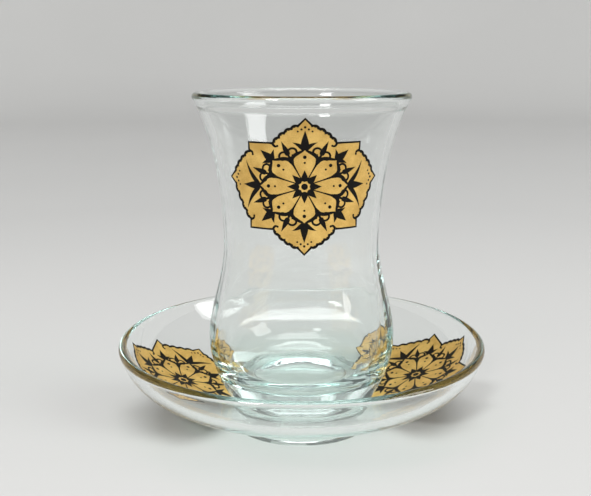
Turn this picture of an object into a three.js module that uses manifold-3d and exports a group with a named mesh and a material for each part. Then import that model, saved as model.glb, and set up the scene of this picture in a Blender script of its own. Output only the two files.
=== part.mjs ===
// Slim-waisted tea glass standing in its footed glass saucer, with gold and black fired prints on both.
// Millimetres, +Z up, origin at the middle of the saucer's foot ring, the tumbler's print towards -Y.
import * as THREE from "three";
import { mergeVertices } from "three/addons/utils/BufferGeometryUtils.js";
import Module from "manifold-3d";

const wasm = await Module();
wasm.setup();

// Tumbler, measured from its own base
const TUMBLER_HEIGHT = 93;
const TUMBLER_WALL = 2;
const TUMBLER_WALL_GAIN = 1.8;
const TUMBLER_BASE = 8.8;
const RIM_RADIUS = 31.5;
const RIM_FLARE = 0.474;
const RIM_REACH = 11.9;
const WAIST_RADIUS = 23.1;
const WAIST_HEIGHT = 48.8;
const WAIST_REACH_UP = 16.7;
const WAIST_REACH_DOWN = 9.1;
const BELLY_RADIUS = 28;
const BELLY_HEIGHT = 20.6;
const BELLY_REACH_UP = 8.7;
const BELLY_REACH_DOWN = 9.3;
const HEEL_RADIUS = 20.5;
const HEEL_SLOPE = 0.911;
const HEEL_REACH = 3.4;
const REST_WIDTH = 6.5;
const KICK_DEPTH = 1.4;
const INNER_CORNER = 10;

// Saucer
const SAUCER_RADIUS = 55;
const SAUCER_HEIGHT = 26.6;
const SAUCER_WALL = 2.5;
const SAUCER_FLOOR = 3.8;
const SAUCER_SLOPE = 0.386;
const SAUCER_SLOPE_REACH = 18.6;
const SAUCER_RIM_LEAN = 0.287;
const SAUCER_RIM_REACH = 14;
const SEAT_MARGIN = 1;
const FOOT_RING_HEIGHT = 4;
const FOOT_RING_WIDTH = 3.8;
const FOOT_RING_EDGE = 0.6;

// Prints: a gold ground on the glass and black ink over it
const FILM = 0.1;
const FILM_CLEARANCE = 0.05;
const STANDING_CLEARANCE = 0.1;
const MEDALLION_HALF_WIDTH = 23.2;
const MEDALLION_HALF_HEIGHT = 19.4;
const HEAD_HALF_WIDTH = 8.7;
const SHOULDER_HALF_WIDTH = 15.9;
const SHOULDER_HALF_HEIGHT = 12.4;
const SHOULDER_DROP = 2.6;
const SIDE_TIP_RISE = 1.7;
const TIP_LENGTH = 2;
const TIP_SPREAD = 2;
const HEAD_LOBES = 4;
const HEAD_BOW = 0.6;
const SIDE_LOBES = 4;
const SIDE_BOW = 0.4;
const LOBE_BULGE = 0.2;
const BORDER_WIDTH = 0.9;
const GROUND_INSET = 0.3;
const INK_GAP = 0.3;
const TUMBLER_PRINT_DROP = 23.4;
const TUMBLER_PRINT_TURN = 0.025;
const SAUCER_PRINT_SCALE = 1.05;
const SAUCER_PRINT_DROP = 1.8;
const SAUCER_PRINT_TURN = 0.065;
const SAUCER_PRINT_BACK = 0.085;

// Drawing inside each medallion: a rosette, a ring of arches, tulips on the arches and curls between them
const DRAWING_PARTS = 8;
const DRAWING_STRETCH = 1.2;
const ROSETTE_EYE = 0.9;
const PETAL_ROOT = 1.35;
const PETAL_LENGTH = 3.3;
const PETAL_WIDTH = 1.85;
const ARCH_FOOT = 6.9;
const ARCH_RISE = 3.9;
const ARCH_WIDTH = 1;
const TULIP_ROOT = 10.2;
const TULIP_LENGTH = 5.6;
const TULIP_WIDTH = 2.2;
const TULIP_LEAF_LENGTH = 4.2;
const TULIP_LEAF_WIDTH = 1.3;
const TULIP_LEAF_TURN = 0.7;
const TULIP_LEAF_BEND = 0.6;
const SIDE_LEAF_LENGTH = 8.6;
const CORNER_TULIP_SHARE = 0.8;
const STALK_WIDTH = 0.5;
const STEM_WIDTH = 0.8;
const FORK_REACH = 9.3;
const SPRIG_LENGTH = 4.6;
const SPRIG_WIDTH = 1.5;
const CURL_RADIUS = 1.5;
const CURL_SIDE = 1.3;
const CURL_TURNS = 0.9;
const CURL_EYE = 0.7;
const CURL_WIDTH = 0.6;

// Fineness of the faceted solids
const TURN_STEPS = 40;
const CURVE_STEPS = 6;
const RIM_STEPS = 4;
const CORNER_STEPS = 3;
const LOBE_STEPS = 3;
const ARCH_STEPS = 3;
const LEAF_STEPS = 4;
const CURL_STEPS = 8;
const MERGE = 0.0005;
const CRUMB = 0.01;

const v2 = (x, y) => new THREE.Vector2(x, y);
const polar = (angle, length) => v2(length * Math.cos(angle), length * Math.sin(angle));
const steps = (count) => Array.from({ length: count + 1 }, (_, i) => i / count);

// Solids and geometries

function solidFrom(geometry) {
  const bare = geometry.clone().deleteAttribute("normal").deleteAttribute("uv");
  const merged = mergeVertices(bare, MERGE);
  const vertProperties = new Float32Array(merged.attributes.position.array);
  const triVerts = new Uint32Array(merged.index.array);
  return new wasm.Manifold(new wasm.Mesh({ numProp: 3, vertProperties, triVerts }));
}

function geometryFrom(solid) {
  const mesh = solid.getMesh();
  const geometry = new THREE.BufferGeometry();
  geometry.setAttribute("position", new THREE.BufferAttribute(mesh.vertProperties, mesh.numProp));
  geometry.setIndex(new THREE.BufferAttribute(mesh.triVerts, 1));
  geometry.computeVertexNormals();
  return geometry;
}

// A profile of (radius, height) points turned about +Z, its first facet edge towards -Y.
function turned(profile) {
  return new THREE.LatheGeometry(profile, TURN_STEPS).rotateX(Math.PI / 2);
}

// Walls: points along the curves with the unit normals on the right of the way

function stationsAlong(curves) {
  const whole = curves.flatMap((curve, n) =>
    steps(CURVE_STEPS)
      .slice(n === 0 ? 0 : 1)
      .map((t) => ({ point: curve.getPoint(t), way: curve.getTangent(t) })),
  );
  return whole.map(({ point, way }) => ({ point, normal: v2(way.y, -way.x) }));
}

function raised(stations, distance) {
  return stations.map(({ point, normal }) => point.clone().addScaledVector(normal, distance));
}

// Half round over a rim, from the outer wall's end to the inner wall's end.
function roundedRim(outerEnd, innerEnd) {
  const middle = outerEnd.clone().add(innerEnd).multiplyScalar(0.5);
  return steps(RIM_STEPS)
    .slice(1, -1)
    .map((t) => outerEnd.clone().rotateAround(middle, Math.PI * t));
}

// Saucer: foot ring, curved wall of even thickness, rounded rim and a flat floor for the tumbler

const floorRadius = HEEL_RADIUS + SEAT_MARGIN;
const floorHeight = FOOT_RING_HEIGHT + SAUCER_WALL * Math.cos(SAUCER_SLOPE);
const saucerWallStart = v2(floorRadius + SAUCER_WALL * Math.sin(SAUCER_SLOPE), FOOT_RING_HEIGHT);
const saucerWallEnd = v2(SAUCER_RADIUS, SAUCER_HEIGHT)
  .subScalar(SAUCER_WALL / 2)
  .add(polar(-SAUCER_RIM_LEAN, SAUCER_WALL / 2));
const saucerWall = stationsAlong([
  new THREE.CubicBezierCurve(
    saucerWallStart,
    saucerWallStart.clone().add(polar(SAUCER_SLOPE, SAUCER_SLOPE_REACH)),
    saucerWallEnd.clone().add(polar(-Math.PI / 2 - SAUCER_RIM_LEAN, SAUCER_RIM_REACH)),
    saucerWallEnd,
  ),
]);
const saucerOutside = raised(saucerWall, 0);
const saucerInside = raised(saucerWall, -SAUCER_WALL);

function saucerProfile() {
  const recessHeight = floorHeight - SAUCER_FLOOR;
  const ringOuter = saucerWallStart.x - FOOT_RING_EDGE;
  const ringInner = ringOuter - FOOT_RING_WIDTH;
  return [
    v2(0, recessHeight),
    v2(ringInner - FOOT_RING_EDGE, recessHeight),
    v2(ringInner, 0),
    v2(ringOuter - FOOT_RING_EDGE, 0),
    v2(ringOuter, FOOT_RING_EDGE),
    ...saucerOutside,
    ...roundedRim(saucerOutside.at(-1), saucerInside.at(-1)),
    ...saucerInside.toReversed(),
    v2(0, floorHeight),
  ];
}

// Tumbler: flared mouth, slim waist, round belly and a thick base with a shallow hollow under it

const standing = floorHeight + 2 * (FILM + FILM_CLEARANCE) + STANDING_CLEARANCE;
const heel = v2(HEEL_RADIUS, standing);
const belly = v2(BELLY_RADIUS, standing + BELLY_HEIGHT);
const waist = v2(WAIST_RADIUS, standing + WAIST_HEIGHT);
const mouth = v2(RIM_RADIUS, standing + TUMBLER_HEIGHT)
  .subScalar(TUMBLER_WALL / 2)
  .add(polar(-RIM_FLARE, TUMBLER_WALL / 2));
const tumblerWall = stationsAlong([
  new THREE.CubicBezierCurve(
    heel,
    heel.clone().add(polar(HEEL_SLOPE, HEEL_REACH)),
    belly.clone().sub(v2(0, BELLY_REACH_DOWN)),
    belly,
  ),
  new THREE.CubicBezierCurve(
    belly,
    belly.clone().add(v2(0, BELLY_REACH_UP)),
    waist.clone().sub(v2(0, WAIST_REACH_DOWN)),
    waist,
  ),
  new THREE.CubicBezierCurve(
    waist,
    waist.clone().add(v2(0, WAIST_REACH_UP)),
    mouth.clone().add(polar(-Math.PI / 2 - RIM_FLARE, RIM_REACH)),
    mouth,
  ),
]);
const tumblerOutside = raised(tumblerWall, 0);

// The wall grows thicker from the waist down to the base.
const tumblerInside = tumblerWall.map(({ point, normal }) => {
  const low = THREE.MathUtils.smoothstep(waist.y - point.y, 0, WAIST_HEIGHT);
  return point.clone().addScaledVector(normal, -TUMBLER_WALL - TUMBLER_WALL_GAIN * low);
});

function tumblerProfile() {
  const bottom = standing + TUMBLER_BASE;
  const inside = tumblerInside.filter((p) => p.y > bottom + INNER_CORNER);
  const turnIn = inside[0];
  const lean = inside[1].clone().sub(turnIn);
  const cornerX = turnIn.x - (lean.x / lean.y) * (turnIn.y - bottom);
  const floorEdge = v2(cornerX - INNER_CORNER, bottom);
  const corner = new THREE.QuadraticBezierCurve(turnIn, v2(cornerX, bottom), floorEdge);
  const restInner = HEEL_RADIUS - REST_WIDTH;
  const kick = steps(CORNER_STEPS).map((t) => v2(restInner * t, standing + KICK_DEPTH * (1 - t * t)));
  return [
    ...kick,
    ...tumblerOutside,
    ...roundedRim(tumblerOutside.at(-1), tumblerInside.at(-1)),
    ...inside.toReversed(),
    ...corner.getPoints(CORNER_STEPS).slice(1),
    v2(0, bottom),
  ];
}

// Medallion outlines, drawn flat about their own middle

// Arcs side by side along a bowed line from one point to another, all bulging to the left of the way.
function lobes(from, to, count, bow) {
  const leftOf = (way) => v2(-way.y, way.x);
  const midway = (a, b) => a.clone().lerp(b, 0.5);
  const bowed = midway(from, to).add(leftOf(to.clone().sub(from)).setLength(2 * bow));
  const corners = new THREE.QuadraticBezierCurve(from, bowed, to).getSpacedPoints(count);
  return corners.slice(1).flatMap((end, i) => {
    const begin = corners[i];
    const bulge = leftOf(end.clone().sub(begin)).multiplyScalar(2 * LOBE_BULGE);
    const arc = new THREE.QuadraticBezierCurve(begin, midway(begin, end).add(bulge), end);
    return arc.getPoints(LOBE_STEPS).slice(i === 0 ? 0 : 1);
  });
}

// A quarter of the cartouche, from its pointed head over a square shoulder to its pointed side.
function quarterOutline(sideTipHeight) {
  const headStart = v2(TIP_SPREAD, MEDALLION_HALF_HEIGHT - TIP_LENGTH);
  const shoulder = v2(SHOULDER_HALF_WIDTH, SHOULDER_HALF_HEIGHT);
  const sideEnd = v2(MEDALLION_HALF_WIDTH - TIP_LENGTH, sideTipHeight + TIP_SPREAD);
  return [
    v2(0, MEDALLION_HALF_HEIGHT),
    ...lobes(headStart, v2(HEAD_HALF_WIDTH, SHOULDER_HALF_HEIGHT), HEAD_LOBES, HEAD_BOW),
    shoulder,
    ...lobes(shoulder.clone().sub(v2(0, SHOULDER_DROP)), sideEnd, SIDE_LOBES, SIDE_BOW),
    v2(MEDALLION_HALF_WIDTH, sideTipHeight),
  ];
}

// The whole scalloped cartouche, its side tips a little above its middle.
function cartouche() {
  const right = [...quarterOutline(SIDE_TIP_RISE), ...flipped(quarterOutline(-SIDE_TIP_RISE)).slice(1)];
  return [...right, ...mirrored(right).slice(1, -1)];
}

const drawnIn = (outline, distance) => outline.map((p) => p.clone().setLength(p.length() - distance));
const mirrored = (outline) => outline.map((p) => v2(-p.x, p.y)).toReversed();
const flipped = (outline) => outline.map((p) => v2(p.x, -p.y)).toReversed();

// A band of even width along a centre line.
function band(centre, width) {
  const left = [];
  const right = [];
  centre.forEach((p, i) => {
    const before = centre[Math.max(i - 1, 0)];
    const after = centre[Math.min(i + 1, centre.length - 1)];
    const way = after.clone().sub(before);
    const side = v2(-way.y, way.x).setLength(width / 2);
    left.push(p.clone().add(side));
    right.push(p.clone().sub(side));
  });
  return [...right, ...left.toReversed()];
}

// A leaf from its root to its pointed tip, widest near the root, whose end turns aside by the bend.
function leaf(root, angle, length, width, bend = 0) {
  const knee = root.clone().add(polar(angle, length / 2));
  const tip = knee.clone().add(polar(angle + bend, length / 2));
  const spine = new THREE.QuadraticBezierCurve(root, knee, tip);
  const side = (sign) => (t) => {
    const way = spine.getTangent(t);
    const half = (sign * width * Math.sin(Math.PI * Math.sqrt(t))) / 2;
    return spine.getPoint(t).addScaledVector(v2(-way.y, way.x), half);
  };
  return [...steps(LEAF_STEPS).map(side(-1)), ...steps(LEAF_STEPS).slice(1, -1).toReversed().map(side(1))];
}

// A point of the drawing at an angle and a distance, in a frame stretched to the medallion's width,
// and the heading that leads straight out there.
const ringed = (turn, reach) => polar(turn, reach).multiply(v2(DRAWING_STRETCH, 1));
const outward = (turn) => ringed(turn, 1).angle();
const partTurn = (place) => (2 * Math.PI * place) / DRAWING_PARTS;

// The bow that hangs between the tips of two neighbouring arches.
function swag(valley) {
  const rise = new THREE.CubicBezierCurve(v2(1, 1), v2(0.92, 0.58), v2(0, 0.72), v2(0, 0));
  const place = (sign) => (p) => ringed(valley + sign * partTurn(p.x / 2), ARCH_FOOT + ARCH_RISE * p.y);
  const fall = rise.getPoints(ARCH_STEPS);
  return band([...fall.map(place(-1)), ...fall.toReversed().slice(1).map(place(1))], ARCH_WIDTH);
}

// A tulip on the tip of an arch, with a leaf to each side.
function tulip(turn, length, leafLength) {
  const root = ringed(turn, TULIP_ROOT);
  const way = (sign) => outward(turn) + sign * TULIP_LEAF_TURN;
  const sideLeaf = (sign) => leaf(root, way(sign), leafLength, TULIP_LEAF_WIDTH, sign * TULIP_LEAF_BEND);
  return [leaf(root, outward(turn), length, TULIP_WIDTH), sideLeaf(-1), sideLeaf(1)];
}

// A stroke that winds from the fork of a sprig round an eye beside it.
function curl(fork, heading, sign) {
  const eye = fork.clone().add(polar(heading + sign * CURL_SIDE, CURL_RADIUS));
  const start = fork.clone().sub(eye).angle();
  const sweep = sign * 2 * Math.PI * CURL_TURNS;
  const wound = (t) => polar(start + sweep * t, THREE.MathUtils.lerp(CURL_RADIUS, CURL_EYE, t));
  return band(steps(CURL_STEPS).map((t) => wound(t).add(eye)), CURL_WIDTH);
}

// A stalk from the rosette to the valley between two arches and a stem out of it,
// with a leaf on the stem's end and a curl to each side.
function sprig(valley) {
  const heading = outward(valley);
  const foot = ringed(valley, ARCH_FOOT);
  const fork = ringed(valley, FORK_REACH);
  const stalk = band([polar(valley, ROSETTE_EYE / 2), foot], STALK_WIDTH);
  const stem = band([foot, fork], STEM_WIDTH);
  const tip = leaf(fork, heading, SPRIG_LENGTH, SPRIG_WIDTH);
  return [stalk, stem, tip, curl(fork, heading, -1), curl(fork, heading, 1)];
}

// The whole drawing: tulips are smaller at the corners, and those at the two sides have long leaves.
function drawing() {
  const tulipAt = (place) => {
    const share = place % 2 === 0 ? 1 : CORNER_TULIP_SHARE;
    const atSide = place % (DRAWING_PARTS / 2) === 0;
    return tulip(partTurn(place), share * TULIP_LENGTH, atSide ? SIDE_LEAF_LENGTH : share * TULIP_LEAF_LENGTH);
  };
  const places = steps(DRAWING_PARTS).slice(1).map((_, place) => place);
  const eye = places.map((place) => polar(partTurn(place), ROSETTE_EYE));
  const petal = (turn) => leaf(polar(turn, PETAL_ROOT), turn, PETAL_LENGTH, PETAL_WIDTH);
  return [
    eye,
    ...places.map((place) => petal(partTurn(place))),
    ...places.map((place) => swag(partTurn(place + 0.5))),
    ...places.flatMap(tulipAt),
    ...places.flatMap((place) => sprig(partTurn(place + 0.5))),
  ];
}

// Prints: flat outlines laid on the curved glass and cut from a thin turned shell over it

// Distances along a line of points, counted from its first point.
function distancesAlong(points) {
  let total = 0;
  return points.map((p, i) => {
    total += i === 0 ? 0 : p.distanceTo(points[i - 1]);
    return total;
  });
}

function pointAt(points, distances, distance) {
  const found = distances.findIndex((d) => d > distance);
  const next = found < 0 ? points.length - 1 : Math.max(found, 1);
  const share = (distance - distances[next - 1]) / (distances[next] - distances[next - 1]);
  return points[next - 1].clone().lerp(points[next], Math.min(Math.max(share, 0), 1));
}

// A closed ring of film following the stations, lift above the glass.
function filmShell(stations, lift) {
  const under = raised(stations, lift);
  const over = raised(stations, lift + FILM);
  const loop = [...under.toReversed(), ...over, under.at(-1).clone()];
  return solidFrom(turned(loop));
}

const tumblerDistances = distancesAlong(tumblerOutside);
const tumblerPrintMiddle = tumblerDistances.at(-1) - TUMBLER_PRINT_DROP;

// Front view of a flat point wrapped round the tumbler.
function onTumbler(p) {
  const place = pointAt(tumblerOutside, tumblerDistances, tumblerPrintMiddle + p.y);
  return v2(place.x * Math.sin(p.x / place.x), place.y);
}

// The saucer's upper face from the rim in to its middle.
const saucerInnerWall = saucerWall.map(({ normal }, i) => ({
  point: saucerInside[i],
  normal: normal.clone().negate(),
}));
const saucerFace = [...saucerInnerWall.toReversed(), { point: v2(FILM, floorHeight), normal: v2(0, 1) }];
const saucerFacePoints = [v2(0, floorHeight), ...saucerInside];
const saucerFaceDistances = distancesAlong(saucerFacePoints);
const saucerPrintHalf = SAUCER_PRINT_SCALE * MEDALLION_HALF_HEIGHT;
const saucerPrintMiddle = saucerFaceDistances.at(-1) - SAUCER_PRINT_DROP - saucerPrintHalf;

// The two prints face each other across the saucer, both a little nearer its back.
const rightPrintTurn = SAUCER_PRINT_TURN + SAUCER_PRINT_BACK;
const leftPrintTurn = Math.PI + SAUCER_PRINT_TURN - SAUCER_PRINT_BACK;

// Plan view of a flat point laid on the saucer's upper face, its head towards the middle.
function onSaucer(turn) {
  return (p) => {
    const flat = v2(saucerPrintMiddle, 0).add(v2(-p.y, p.x).multiplyScalar(SAUCER_PRINT_SCALE));
    const radius = pointAt(saucerFacePoints, saucerFaceDistances, flat.length()).x;
    return polar(flat.angle() + turn, radius);
  };
}

const reachForward = RIM_RADIUS + BELLY_RADIUS;
const intoTumbler = (shape) =>
  new THREE.ExtrudeGeometry(shape, { depth: reachForward, bevelEnabled: false })
    .rotateX(Math.PI / 2)
    .rotateZ(TUMBLER_PRINT_TURN);
const reachUp = 2 * SAUCER_HEIGHT;
const intoSaucer = (shape) => new THREE.ExtrudeGeometry(shape, { depth: reachUp, bevelEnabled: false });

function medallion(name, stations, place, cutter) {
  const edge = cartouche();
  const cut = (outline) => solidFrom(cutter(new THREE.Shape(outline.map(place))));
  const inside = cut(drawnIn(edge, BORDER_WIDTH));
  const ink = filmShell(stations, 2 * FILM_CLEARANCE + FILM);
  const ground = filmShell(stations, FILM_CLEARANCE).intersect(cut(drawnIn(edge, GROUND_INSET)));
  const border = ink.intersect(cut(edge).subtract(inside));
  const strokes = drawing().map(cut).reduce((whole, stroke) => whole.add(stroke));
  const field = cut(drawnIn(edge, BORDER_WIDTH + INK_GAP));
  const ornament = ink.intersect(strokes.intersect(field)).simplify(CRUMB);
  return [
    piece(`${name}_ground`, geometryFrom(ground), gold),
    piece(`${name}_border`, geometryFrom(border), black),
    piece(`${name}_ornament`, geometryFrom(ornament), black),
  ];
}

// Materials and pieces

const glass = new THREE.MeshStandardMaterial({ color: 0xd9e8df, roughness: 0.05, transparent: true });
glass.opacity = 0.5;
const gold = new THREE.MeshStandardMaterial({ color: 0xd2a95a, roughness: 0.4, metalness: 0.7 });
const black = new THREE.MeshStandardMaterial({ color: 0x15120f, roughness: 0.4 });

function piece(name, geometry, material) {
  const mesh = new THREE.Mesh(geometry, material);
  mesh.name = name;
  return mesh;
}

const teaGlass = new THREE.Group();
teaGlass.name = "tea_glass";
teaGlass.add(
  piece("saucer", turned(saucerProfile()), glass),
  piece("tumbler", turned(tumblerProfile()), glass),
  ...medallion("tumbler_medallion", tumblerWall, onTumbler, intoTumbler),
  ...medallion("saucer_right_medallion", saucerFace, onSaucer(rightPrintTurn), intoSaucer),
  ...medallion("saucer_left_medallion", saucerFace, onSaucer(leftPrintTurn), intoSaucer),
);

export default teaGlass;
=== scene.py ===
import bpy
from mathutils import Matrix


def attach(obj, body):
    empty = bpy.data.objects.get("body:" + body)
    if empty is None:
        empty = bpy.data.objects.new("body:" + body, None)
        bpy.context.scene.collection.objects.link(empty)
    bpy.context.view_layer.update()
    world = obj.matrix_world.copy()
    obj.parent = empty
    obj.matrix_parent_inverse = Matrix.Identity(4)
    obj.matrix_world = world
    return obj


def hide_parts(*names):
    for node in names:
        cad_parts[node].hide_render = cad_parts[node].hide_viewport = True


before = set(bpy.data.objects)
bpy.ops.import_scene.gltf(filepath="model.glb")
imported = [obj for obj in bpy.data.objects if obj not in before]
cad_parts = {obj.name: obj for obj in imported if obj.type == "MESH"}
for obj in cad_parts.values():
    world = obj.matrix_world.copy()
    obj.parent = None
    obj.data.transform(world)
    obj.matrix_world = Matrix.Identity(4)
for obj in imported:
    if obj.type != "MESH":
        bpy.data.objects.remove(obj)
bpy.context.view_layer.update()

import math

import bpy
import numpy as np
from bpy.props import FloatProperty, FloatVectorProperty, IntProperty, PointerProperty
from bpy.types import Operator, Panel, PropertyGroup
from mathutils import Vector

bl_info = {
    "name": "Tea Glass",
    "version": (1, 0, 0),
    "blender": (4, 5, 0),
    "location": "View3D > Sidebar > Tea Glass",
    "description": "A slim-waisted tea glass in its saucer, with gold medallions",
    "category": "Object",
}

MM = 0.001

# Fineness of the meshes
SAUCER_WALL_STEPS = 90
TUMBLER_WALL_STEPS = 56
RIM_STEPS = 18
HOLLOW_POINTS = 24
LOBE_POINTS = 9
BOW_POINTS = 200
GROUND_RINGS = 24
BORDER_STEP = 0.12 * MM
BORDER_ROWS = 5
LEAF_STEPS = 14
ARCH_POINTS = 17
CURL_STEPS = 36
STALK_POINTS = 8
STEM_POINTS = 6
HOOK_POINTS = 11
BLUNT_STEPS = 4
RIBBON_COLUMNS = 5
DOT_SIDES = 18
SHARP_ANGLE = math.radians(35)
SEAM = 0.002 * MM

# In roundings of the foot ring: how far the recess's edge lies inside the ring,
# how far the neck lies under the foot's height, and the neck's own rounding
RECESS_LEAN = 2.2
NECK_DROP = 0.3
NECK_ROUND = 1.2

# Share of the recess's slanting side that is rounded at each end
SLANT_ROUND = 0.3

# Share of the rim's height in which its bead comes up, and the bend of the hollow under the base
BEAD_RISE = 0.45
HOLLOW_BEND = 1.25

# Waves of the glass: how fast the noise goes with the height, and its scale, for streaks and for rings
STREAKS = (5.0, 8.0)
RINGS = (260.0, 0.9)

# Share of the inner floor's radius without waves, and shares of the height between which they die out
EVEN_FLOOR = 0.3
WAVES_FADE = (0.86, 0.97)

# The border: share of a scallop's depth over the stated width,
# and the spread, in points, of the smoothing of its turns and of its width
SCALLOP_LEVEL = 0.35
TURN_SPREAD = 6
WIDTH_SPREAD = 4

# The border's hooks: moves in millimetres to start, turn and end, from the head's foot and from
# under the shoulder, and shares of the border's width for the stroke and for the dot on its end
NECK_HOOK = ((-0.2, -0.65), (-0.7, -1.5), (-1.35, -1.05))
SHOULDER_HOOK = ((-0.6, -0.05), (-1.5, -0.3), (-1.4, -1.05))
HOOK_WIDTH = 0.76
HOOK_DOT = 0.36

# Shares of a stroke's full width along its length
ARCH_SHARES = (0.35, 1.0, 1.1, 1.0, 0.35)
CURL_SHARES = (0.7, 1.0, 1.0, 0.7)
STALK_SHARES = (0.6, 0.7, 1.2)
STEM_SHARES = (1.0, 0.8)
HOOK_SHARES = (1.0, 0.9, 0.55)

# Half widths under this end in a point
POINTED = 0.05 * MM

# The curve of an arch's side, as shares: how far across its control point by the tip lies,
# and how far out that point and the one by the valley lie
ARCH_TIP_ACROSS = 0.92
ARCH_TIP_RISE = 0.58
ARCH_VALLEY_RISE = 0.72

# A tulip is at the side where its angle's sine is under this
SIDEWAYS = 0.1

# Share of a petal's length at which the stalks between the petals start
STALK_START = 0.3

# Dots inside an arch: shares of the arch's rise above its foot, and of the eye's radius
ARCH_DOTS = ((0.35, 0.55), (-0.05, 0.33))

# Dots inside a tip: how far in as a share of its length, the rest as shares of its spread
TIP_DOT_INSET = 1.35
TIP_DOT_DROP = 0.3
TIP_DOT_PITCH = 0.48
TIP_DOT_RADIUS = 0.17
TIP_DOT_TAPER = 0.02

# How much deeper the black is fused into the glass than the gold
BLACK_BITE = 1.5

# The usual range of a noise
NOISE_RANGE = (0.3, 0.7)

# Marks on glass: the noise's ranges in which smudges and streaks come up, the streaks' stretch,
# and the fineness of streaks and swell against the smudges
SMUDGE_RANGE = (0.54, 0.75)
STREAK_RANGE = (0.56, 0.72)
STREAK_STRETCH = (1.0, 1.0, 0.12)
STREAK_FINENESS = 14.0
SWELL_FINENESS = 1.7
SAUCER_MARK_SCALE = 60.0
TUMBLER_MARK_SCALE = 75.0

# Glass: roughness where smudge and streak meet, strength of the swell, colours and refraction
GLASS_ROUGHNESS = 0.05
GLASS_SWELL = 0.02
GLASS_COLOUR = (0.99, 1.0, 0.995, 1.0)
SHADOW_COLOUR = (0.955, 0.975, 0.965, 1.0)
GLASS_IOR = 1.51

# Prints: the fineness of mottle and thin spots against the grain, the noise's range in which
# thin spots come up, and the height of the relief
MOTTLE_FINENESS = 0.055
THIN_FINENESS = 0.5
THIN_RANGE = (0.68, 0.76)
PRINT_BUMP = 0.03 * MM

# Gold: grain, how much speckle and mottle tell, their range from deep to light, and the surface
GOLD_GRAIN = 4200.0
GOLD_SPECKLE = 0.55
GOLD_MOTTLE = 0.7
GOLD_RANGE = (0.5, 0.76)
GOLD_ROUGHNESS = (0.36, 0.52)
GOLD_RELIEF = 0.25
GOLD_METAL = 0.55

# Black: grain, how much thin spots tell, and the surface
BLACK_GRAIN = 3600.0
BLACK_THIN = 0.6
BLACK_ROUGHNESS = (0.3, 0.46)
BLACK_RELIEF = 0.2
BLACK_SPECULAR = 0.1

# Paper of the floor: tooth and clouds, distances between which, and how far, it is painted paler as painted
# light that makes up for lamp light falling off towards the backdrop, and the surface
PAPER_TOOTH = 900.0
PAPER_CLOUDS = 3.0
PAPER_CLOUD_LEVEL = (0.97, 1.0)
PAPER_PAINTED_LIGHT_FROM = (0.4, 1.6)
PAPER_PAINTED_LIGHT_LEVEL = (1.0, 1.6)
PAPER_ROUGHNESS = 0.75
PAPER_RELIEF = 0.08
PAPER_BUMP = 0.1 * MM

# Stage: radii of the flat floor's rings, its bend up into the backdrop and its columns
FLOOR_RINGS = (0.3, 0.8, 1.3)
FLOOR_BEND = 0.7
FLOOR_BEND_START = 0.1
FLOOR_BEND_RINGS = 14
FLOOR_COLUMNS = 96

# Each lamp's name, place, width and height, and watts, and the height that all are turned to
LAMPS = (
    ("key_lamp", (-0.49, -0.7, 0.83), (0.22, 0.2), 6.0),
    ("fill_lamp", (0.9, -0.35, 0.5), (0.5, 0.7), 5.5),
    ("top_lamp", (0.0, -0.3, 1.7), (1.4, 1.2), 25.0),
)
AIM_HEIGHT = 0.05

# The room's grey, the camera's frame in millimetres and the most bounces of a ray
ROOM_GREY = (0.12, 0.12, 0.12, 1.0)
FRAME_WIDTH = 36.0
BOUNCES = 48


# Properties

def length(name, millimetres, description):
    """A length whose default is given in millimetres."""
    return FloatProperty(
        name=name, description=description, default=millimetres * MM, min=0.0, precision=5, unit="LENGTH"
    )


def angle(name, radians, description):
    """An angle whose default is given in radians."""
    return FloatProperty(name=name, description=description, default=radians, precision=4, subtype="ANGLE")


def number(name, default, description):
    """A plain number."""
    return FloatProperty(name=name, description=description, default=default, precision=4)


def count(name, default, description):
    """A whole number above zero."""
    return IntProperty(name=name, description=description, default=default, min=1)


def colour(name, default, description):
    """A linear colour."""
    return FloatVectorProperty(
        name=name, description=description, default=default, size=3, min=0.0, max=1.0, subtype="COLOR"
    )


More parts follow.
